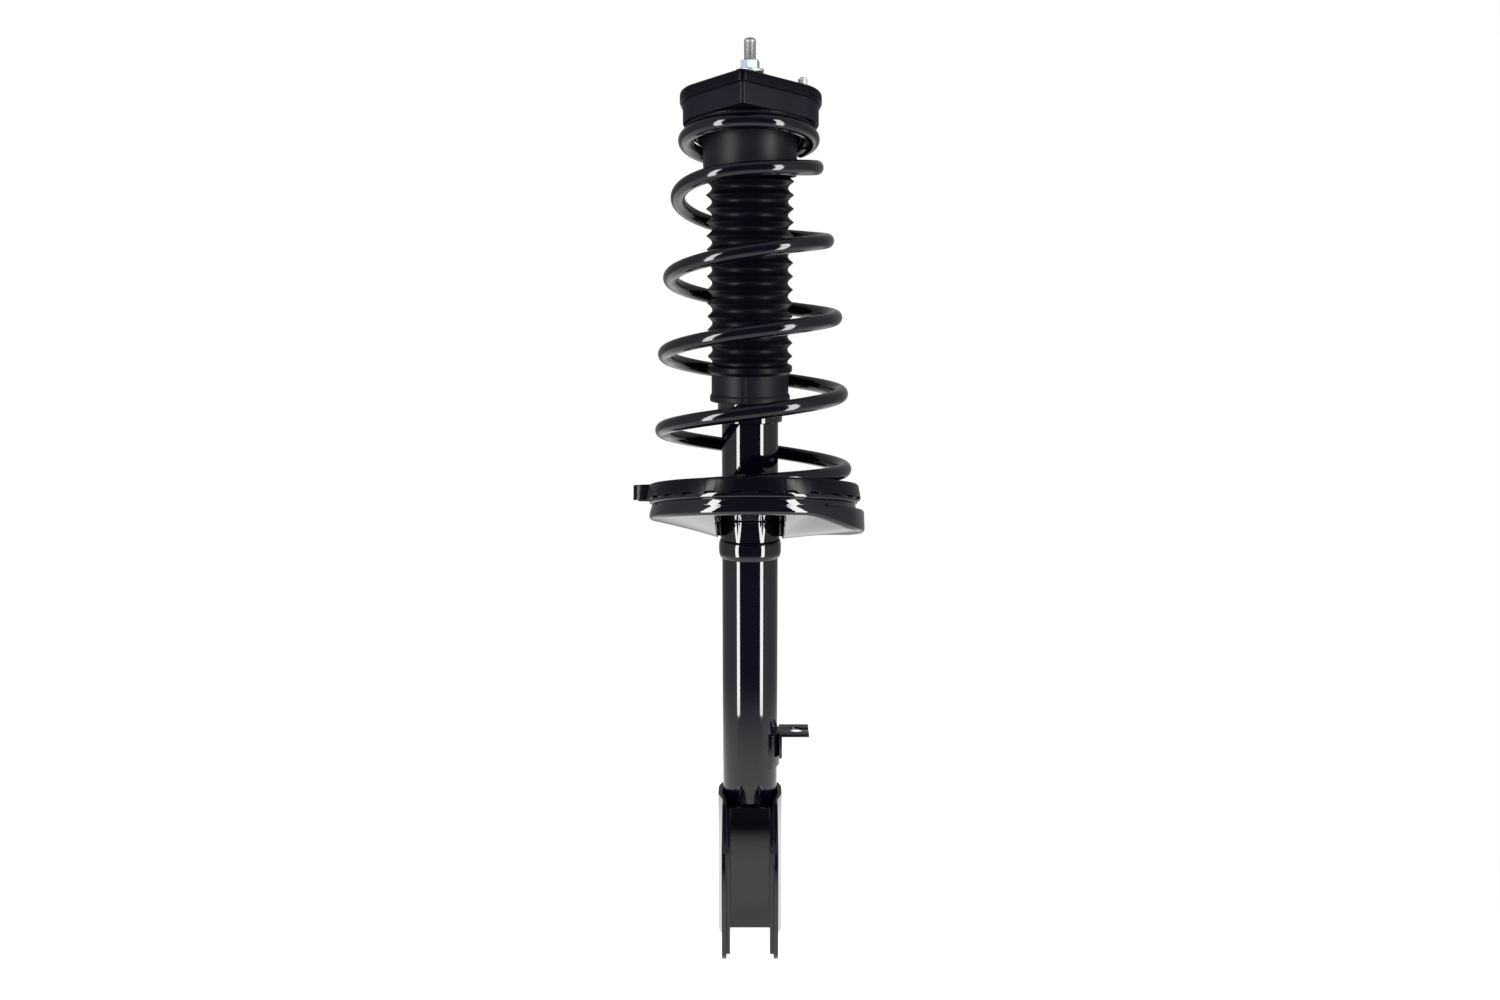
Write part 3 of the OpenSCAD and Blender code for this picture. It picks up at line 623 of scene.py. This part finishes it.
def make_cup():
    """The cup, its top cut off along the tilted mount, CUP_DEPTH under the mount's fixing face."""
    around = 128
    outline = filleted([(CUP_HOLE_R, CUP_TOP_Z, 0), (CUP_TOP_R, CUP_TOP_Z, 0),
                        (CUP_MOUTH_R, CUP_MOUTH_Z, 1.6), (CUP_INSIDE_R, CUP_MOUTH_Z, 1.2),
                        (CUP_INSIDE_R, CUP_CEILING_Z, 2.0),
                        (CUP_HOLE_R, CUP_CEILING_Z, 0.8)], 6)
    rings = turned([(r * MM, z * MM) for r, z in outline], around)
    slope = math.tan(MOUNT_TILT)
    for ring in rings:
        ceiling = -CUP_DEPTH * MM / math.cos(MOUNT_TILT) - ring[:, 1] * slope
        ring[:, 2] = np.minimum(ring[:, 2], ceiling)
    vertices, faces = skin(rings, True)
    make_object("bumper_cup_moulding", vertices, faces, FINISHES["cup_rubber"], body="top_mount",
                slot="cup_rubber", replaces=["bumper_cup"])


# ---------------------------------------------------------------- damper tube
TUBE_INSIDE_R, TUBE_MOUTH_R, TUBE_LIP = TUBE_R - 2.2, TUBE_R - 4, 2
CAP_INSIDE_R, CAP_R, CAP_HOLE_R, CAP_SHEET = TUBE_R + 0.1, 27.4, 12, 3
WELD_GAP = 0.05
BEAD_FOOT, BEAD_POWER, BEAD_ROUNDNESS = 0.2, 2.6, 2.2


def make_tube():
    """The reserve tube, the cap on its top end and the rounded ring under the seat."""
    gloss = FINISHES["gloss_black_steel"]
    low, high = TUBE_LOW.z / MM, TUBE_HIGH.z / MM
    revolve("reserve_tube_shell", [(TUBE_INSIDE_R, low, 0), (TUBE_R, low, 0.6), (TUBE_R, high, 1.2),
                                   (TUBE_MOUTH_R, high, 0.8), (TUBE_MOUTH_R, high - TUBE_LIP, 0),
                                   (TUBE_INSIDE_R, high - TUBE_LIP, 0)],
            gloss, body="damper", slot="gloss_black_steel", replaces=["reserve_tube"])
    low, high = CAP_LOW.z / MM, CAP_HIGH.z / MM
    revolve("tube_end_cap_pressing", [(CAP_INSIDE_R, low, 0.3), (CAP_R, low, 0.7), (CAP_R, high, 2.6),
                                      (CAP_HOLE_R, high, 1.0), (CAP_HOLE_R, high - CAP_SHEET, 0.4),
                                      (CAP_INSIDE_R, high - CAP_SHEET, 1.0)],
            gloss, body="damper", slot="gloss_black_steel", replaces=["tube_end_cap"])
    low, high = RING_LOW.z / MM, RING_HIGH.z / MM
    half, middle, foot = (high - low) / 2, (high + low) / 2, TUBE_R + BEAD_FOOT
    swell = RING_HIGH.x / MM - foot
    barrel = [(foot + swell * (1 - abs(h) ** BEAD_POWER) ** (1 / BEAD_ROUNDNESS), middle + half * h)
              for h in (math.sin(b) for b in np.linspace(-math.pi / 2, math.pi / 2, 29))]
    inside = TUBE_R + WELD_GAP
    outline = [(r * MM, z * MM) for r, z in [(inside, low), *barrel, (inside, high)]]
    vertices, faces = skin(turned(outline, 128), True)
    make_object("seat_support_ring_bead", vertices, faces, gloss, body="damper", slot="gloss_black_steel",
                replaces=["seat_support_ring"], sharp=60)


# ---------------------------------------------------------------- lower spring seat
def smooth_step(x, low, high):
    """0 below low and 1 above high, with a smooth rise between."""
    t = np.clip((x - low) / (high - low), 0, 1)
    return t * t * (3 - 2 * t)


# Heights in the seat are along its own axis, from its rim. HUB_BOTTOM_Z is in the row's frame.
PAN_R, RIM_H, HUB_BOTTOM_Z = 86.5, 18.5, -372.0
RIM_WALL, RIM_ROLL, RIM_DIP, ROLL_R, PAN_SHEET = 3.0, 1.5, 2.4, 3.6, 3.0
POCKET_R, POCKET_TOP, POCKET_BOTTOM = 92.0, -10.0, -29.0
# How far round from +X the pocket is at its full depth or width, and where it has faded out.
POCKET_DEPTH_FADE = (math.radians(22), math.radians(62))
POCKET_WIDTH_FADE = (math.radians(26), math.radians(56))
# The recess in front of the tube: its half width and its back edge, each with a soft side.
RECESS_SIDE, RECESS_BACK, RECESS_GAP = (26.4, 27.6), (-4, 1), 0.4
SEAT_BORE_R = TUBE_R + 0.4


def seat_height(x, y):
    """Height of the rim's tilted plane over a place."""
    return SEAT_CENTRE.z / MM - (y - SEAT_CENTRE.y / MM) * math.tan(SEAT_TILT)


def make_seat():
    """The pressed pan: rolled rim, a deeper and wider pocket on the right, and a coned floor."""
    around = 720
    a = angles(around)
    off = np.abs((a + math.pi) % TAU - math.pi)
    deep = 1 - smooth_step(off, *POCKET_DEPTH_FADE)
    ledge = 1 - smooth_step(off, *POCKET_WIDTH_FADE)
    rim_r = PAN_R + (POCKET_R - PAN_R) * ledge
    floor = -RIM_H + (POCKET_BOTTOM + RIM_H) * deep

    def rim_ring(radius, height):
        """A ring in the seat's own tilted frame."""
        ring = np.stack([radius * np.cos(a), radius * np.sin(a), height + 0 * a], 1) * MM
        return placed(ring, SEAT_FRAME)

    def sheet_ring(share, lift):
        """A ring of the pan's floor, from the rim at share 0 to the tube at share 1."""
        outer = rim_ring(rim_r - ROLL_R, floor) / MM
        inner = np.stack([SEAT_BORE_R * np.cos(a), SEAT_BORE_R * np.sin(a)], 1)
        x = outer[:, 0] + (inner[:, 0] - outer[:, 0]) * share
        y = outer[:, 1] + (inner[:, 1] - outer[:, 1]) * share
        rim_z = seat_height(x, y)
        cone_z = (1 - share) * outer[:, 2] + share * (HUB_BOTTOM_Z + 0.6)
        recess = (1 - smooth_step(np.abs(x), *RECESS_SIDE)) * (1 - smooth_step(y, *RECESS_BACK))
        z = cone_z * (1 - recess) + (rim_z - RIM_H - RECESS_GAP) * recess
        return np.stack([x, y, z + lift], 1) * MM

    step = POCKET_TOP + 0 * a
    rings = [rim_ring(PAN_R - RIM_WALL, -RIM_ROLL + 0 * a)]
    for turn in np.linspace(math.pi, 0, 9):
        radius = PAN_R - RIM_ROLL + RIM_ROLL * math.cos(turn)
        rings.append(rim_ring(radius, -RIM_ROLL + RIM_ROLL * math.sin(turn) + 0 * a))
    for turn in np.linspace(0, math.pi / 2, 7):
        rings.append(rim_ring(PAN_R - RIM_DIP * (1 - math.cos(turn)), -3.2 - 2.0 * math.sin(turn) + 0 * a))
    waist = 0.42 * RIM_DIP
    rings += [rim_ring(PAN_R - waist, step + 0.2), rim_ring(PAN_R - waist + (rim_r - PAN_R) * 0.4, step),
              rim_ring(rim_r - waist - 0.9 * ledge, step - 0.2), rim_ring(rim_r - 0.4, step - 1.6)]
    for turn in np.linspace(0, math.pi / 2, 10):
        height = floor + ROLL_R - ROLL_R * math.sin(turn)
        rings.append(rim_ring(rim_r - ROLL_R + ROLL_R * math.cos(turn), height))
    shares = np.concatenate([np.linspace(0.02, 0.9, 34), np.linspace(0.92, 1.0, 6)])
    rings += [sheet_ring(s, 0.0) for s in shares]
    rings += [sheet_ring(s, PAN_SHEET) for s in shares[::-1]]
    for turn in np.linspace(math.pi / 2, 0, 6):
        rings.append(rim_ring(rim_r - ROLL_R + 0.8 * math.cos(turn), floor + ROLL_R - 0.8 * math.sin(turn)))
    rings += [rim_ring(rim_r - RIM_WALL, step - 4.0), rim_ring(PAN_R - RIM_WALL, step - 2.8)]
    vertices, faces = skin(rings, True)
    make_object("lower_spring_seat_pan", vertices, faces, FINISHES["gloss_black_steel"], body="damper",
                slot="gloss_black_steel", replaces=["lower_spring_seat"], sharp=50)


HUB_FLUTES, HUB_H, HUB_R, HUB_FLARE, FLUTE_DEPTH, FLUTE_SHARPNESS = 8, 19, 25.2, 0.9, 0.8, 0.25
HUB_END_ANGLE = 0.012


def make_hub():
    """The fluted half collar that is welded to the tube under the front of the pan."""
    sections = []
    low, inside = HUB_BOTTOM_Z + 0.2, TUBE_R + WELD_GAP
    for a in np.linspace(math.pi + HUB_END_ANGLE, TAU - HUB_END_ANGLE, 97):
        in_front = abs(a - 1.5 * math.pi) < math.pi / 4
        flute = (0.5 + 0.5 * math.cos(HUB_FLUTES * a)) ** FLUTE_SHARPNESS if in_front else 1.0
        outline = [(inside, low)]
        for s in np.linspace(0, 1, 12):
            flare = HUB_R + HUB_FLARE * s - FLUTE_DEPTH * (1 - flute) * s
            outline.append((flare, low + HUB_H * s))
        outline.append((inside, low + HUB_H))
        under = [seat_height(0, r * math.sin(a)) - (RIM_H + 0.6) / math.cos(SEAT_TILT) for r, z in outline]
        sections.append([(r * math.cos(a) * MM, r * math.sin(a) * MM, min(z, u) * MM)
                         for (r, z), u in zip(outline, under)])
    vertices, faces = skin(sections, False)
    make_object("seat_hub_fluted", vertices, faces, FINISHES["gloss_black_steel"], body="damper",
                slot="gloss_black_steel", replaces=["seat_hub"], sharp=50)


TEETH, TOOTH_DEPTH, TAB_HALF_ANGLE, TAB_REACH = 26, 2.0, math.radians(6.5), 99.9
ISOLATOR_BORE_R, ISOLATOR_WALL_R, ISOLATOR_SKIRT_R, ISOLATOR_R = 68.5, 83.4, 86.6, 88.9
ISOLATOR_BOTTOM, ISOLATOR_FLOOR, ISOLATOR_TOP = -15.4, -4.5, 11


def make_isolator():
    """The rubber ring that the spring's end lies in, with its toothed skirt and side tab."""
    per_tooth = 18
    around = TEETH * per_tooth
    a = angles(around)
    phase = (a * TEETH / TAU) % 1.0
    tooth = smooth_step(phase, 0.06, 0.14) * (1 - smooth_step(phase, 0.60, 0.68))
    side = np.abs(a - math.pi)
    tab = np.sqrt(np.clip(1 - (side / TAB_HALF_ANGLE) ** 4, 0, 1))
    outline = filleted([(ISOLATOR_BORE_R, ISOLATOR_BOTTOM, 1.0), (ISOLATOR_WALL_R, ISOLATOR_BOTTOM, 0.8),
                        (ISOLATOR_WALL_R, 0.2, 0), (ISOLATOR_SKIRT_R, 0.2, 0), (ISOLATOR_R, 0.2, 0.6),
                        (87.0, ISOLATOR_TOP, 2.4), (ISOLATOR_WALL_R, ISOLATOR_TOP, 1.2), (82.5, 2, 1.0),
                        (82.5, ISOLATOR_FLOOR, 1.0), (ISOLATOR_BORE_R, ISOLATOR_FLOOR, 1.2)], 5)
    rings = []
    for r, z in outline:
        out = smooth_step(np.full(around, r), 84.6, 86.4)
        radius = r + (TAB_REACH - max(r, ISOLATOR_SKIRT_R)) * tab * out
        height = z - TOOTH_DEPTH * tooth * out * (1 - smooth_step(np.full(around, z), 0.5, 3.0))
        ring = np.stack([radius * np.cos(a), radius * np.sin(a), height], 1) * MM
        rings.append(placed(ring, SEAT_FRAME))
    vertices, faces = skin(rings, True)
    make_object("lower_isolator_ring", vertices, faces, FINISHES["isolator_rubber"], body="damper",
                slot="isolator_rubber", replaces=["lower_isolator"])


# ---------------------------------------------------------------- stage
FLOOR_DROP = 0.0005
FLOOR_RINGS = (1.6, 0.8, 0.3, 0.01)
FLOOR_FADE = (0.15, 0.75)
FLOOR_GREY, FLOOR_GLOW = 0.25, 1.2


def make_stage():
    """A pale round floor just under the part, which fades out towards its edge. Sizes in metres."""
    around = 96
    a = angles(around)
    height = np.full(around, cad_low.z - FLOOR_DROP)
    rings = [np.stack([r * np.cos(a), r * np.sin(a), height], 1) for r in FLOOR_RINGS]
    vertices, faces = skin(rings, False)
    last = len(FLOOR_RINGS) - 1
    faces = faces[:-2] + [tuple(range(last * around, (last + 1) * around))]
    material = bpy.data.materials.new("pale_floor")
    material.use_nodes = True
    nodes, links = material.node_tree.nodes, material.node_tree.links
    shader = nodes["Principled BSDF"]
    shader.inputs["Base Color"].default_value = (FLOOR_GREY, FLOOR_GREY, FLOOR_GREY, 1)
    shader.inputs["Roughness"].default_value = 0.9
    shader.inputs["Specular IOR Level"].default_value = 0.1
    place = nodes.new("ShaderNodeTexCoord")
    reach = nodes.new("ShaderNodeVectorMath")
    reach.operation = "LENGTH"
    flat = nodes.new("ShaderNodeVectorMath")
    flat.operation = "MULTIPLY"
    flat.inputs[1].default_value = (1, 1, 0)
    links.new(place.outputs["Object"], flat.inputs[0])
    links.new(flat.outputs["Vector"], reach.inputs[0])
    fade = nodes.new("ShaderNodeMapRange")
    fade.interpolation_type = "SMOOTHSTEP"
    fade.inputs["From Min"].default_value, fade.inputs["From Max"].default_value = FLOOR_FADE
    links.new(reach.outputs["Value"], fade.inputs["Value"])
    shader.inputs["Emission Color"].default_value = (1, 1, 1, 1)
    shader.inputs["Emission Strength"].default_value = FLOOR_GLOW
    clear = nodes.new("ShaderNodeBsdfTransparent")
    both = nodes.new("ShaderNodeMixShader")
    links.new(fade.outputs["Result"], both.inputs["Fac"])
    links.new(shader.outputs["BSDF"], both.inputs[1])
    links.new(clear.outputs["BSDF"], both.inputs[2])
    links.new(both.outputs["Shader"], nodes["Material Output"].inputs["Surface"])
    floor = make_object("floor", vertices, faces, material)


# Each stop is (position, grey): position 0 is the camera's side of the room and 1 is the far side.
ROOM_STOPS = ((0.20, 0.09), (0.27, 0.7), (0.5, 0.5), (0.75, 0.34))
BELOW_FADE, BELOW_GREY = (-0.28, -0.55), 1.5


def make_world():
    """White to the eye; as a reflection, dim in front, brighter at the sides and bright from below."""
    world = bpy.data.worlds.new("studio")
    bpy.context.scene.world = world
    world.use_nodes = True
    nodes, links = world.node_tree.nodes, world.node_tree.links
    seen = nodes["Background"]
    seen.inputs["Color"].default_value = (1, 1, 1, 1)
    seen.inputs["Strength"].default_value = 1.0
    place = nodes.new("ShaderNodeTexCoord")
    parts = nodes.new("ShaderNodeSeparateXYZ")
    links.new(place.outputs["Generated"], parts.inputs["Vector"])
    around = nodes.new("ShaderNodeMapRange")
    around.inputs["From Min"].default_value = -1.0
    around.inputs["From Max"].default_value = 1.0
    links.new(parts.outputs["Y"], around.inputs["Value"])
    ramp_node = nodes.new("ShaderNodeValToRGB")
    stops = ramp_node.color_ramp.elements
    stops[0].position, stops[0].color = 0.0, (0.07, 0.07, 0.075, 1)
    stops[1].position, stops[1].color = 1.0, (0.3, 0.3, 0.31, 1)
    for position, value in ROOM_STOPS:
        stop = stops.new(position)
        stop.color = (value, value, value, 1)
    links.new(around.outputs["Result"], ramp_node.inputs["Fac"])
    down = nodes.new("ShaderNodeMapRange")
    down.interpolation_type = "SMOOTHSTEP"
    down.inputs["From Min"].default_value, down.inputs["From Max"].default_value = BELOW_FADE
    links.new(parts.outputs["Z"], down.inputs["Value"])
    mix = nodes.new("ShaderNodeMix")
    mix.data_type = "RGBA"
    mix.inputs["B"].default_value = (BELOW_GREY, BELOW_GREY, BELOW_GREY, 1)
    links.new(down.outputs["Result"], mix.inputs["Factor"])
    links.new(ramp_node.outputs["Color"], mix.inputs["A"])
    mirrored = nodes.new("ShaderNodeBackground")
    links.new(mix.outputs["Result"], mirrored.inputs["Color"])
    path = nodes.new("ShaderNodeLightPath")
    choice = nodes.new("ShaderNodeMixShader")
    links.new(path.outputs["Is Camera Ray"], choice.inputs["Fac"])
    links.new(mirrored.outputs["Background"], choice.inputs[1])
    links.new(seen.outputs["Background"], choice.inputs[2])
    links.new(choice.outputs["Shader"], nodes["World Output"].inputs["Surface"])


# Metres, watts and degrees.
STRIP_WIDE, STRIP_TALL, STRIP_DISTANCE, STRIP_RISE = 0.36, 2.05, 1.6, 0.9
STRIP_POWER, STRIP_AZIMUTH = 49, 49


def make_lights():
    """Two tall strip boxes, either side of the camera."""
    middle = Vector((0, 0, cad_high.z - STRIP_TALL / 2 + STRIP_RISE))
    for name, azimuth in (("strip_left", -STRIP_AZIMUTH), ("strip_right", STRIP_AZIMUTH)):
        data = bpy.data.lights.new(name, "AREA")
        data.shape = "RECTANGLE"
        data.size, data.size_y = STRIP_WIDE, STRIP_TALL
        data.energy = STRIP_POWER
        lamp = bpy.data.objects.new(name, data)
        bpy.context.scene.collection.objects.link(lamp)
        a = math.radians(azimuth)
        lamp.location = middle + Vector((math.sin(a), -math.cos(a), 0.0)) * STRIP_DISTANCE
        lamp.rotation_euler = (middle - lamp.location).to_track_quat("-Z", "Y").to_euler()
        lamp.visible_camera = False


# The distance is in metres; the shares are of the frame's width and of the part's height.
CAMERA_DISTANCE = 1.204
CAMERA_PITCH = math.radians(9.9)
FOCAL_SHARE = 1400 / 1500
AIM_SHARE = 0.504
SENSOR_WIDTH = 36


def make_camera():
    """The photo's camera: in front of the part's middle and a little above, looking down at it."""
    data = bpy.data.cameras.new("camera")
    data.sensor_width = SENSOR_WIDTH
    data.lens = SENSOR_WIDTH * FOCAL_SHARE
    data.clip_start, data.clip_end = 0.05, 50
    camera = bpy.data.objects.new("camera", data)
    bpy.context.scene.collection.objects.link(camera)
    aim = Vector((0, 0, cad_low.z + AIM_SHARE * (cad_high.z - cad_low.z)))
    back = Vector((0, -math.cos(CAMERA_PITCH), math.sin(CAMERA_PITCH)))
    camera.location = aim + back * CAMERA_DISTANCE
    camera.rotation_euler = (-back).to_track_quat("-Z", "Y").to_euler()
    bpy.context.scene.camera = camera


make_camera()
make_lights()
make_world()
make_stage()
bpy.context.scene.view_settings.view_transform = "Standard"

finish_cad_nodes()
make_coil()
make_boot()
make_mount()
make_rod()
make_stud()
make_nut()
make_washer()
make_cup()
make_tube()
make_seat()
make_hub()
make_isolator()
for node in ("knuckle_bracket", "bracket_liner", "hose_bracket"):
    refined(node, FINISHES["gloss_black_steel"], "damper", bevel=0.7)
# The upper spring seat takes the darker satin copy: painted shade, as it sits in the shadow of the mount's
# skirt.
refined("upper_spring_seat", FINISHES["shaded_satin_black_steel"], "top_mount", bevel=0.5)
refined("mount_rubber", FINISHES["black_rubber"], "top_mount", bevel=0.8)
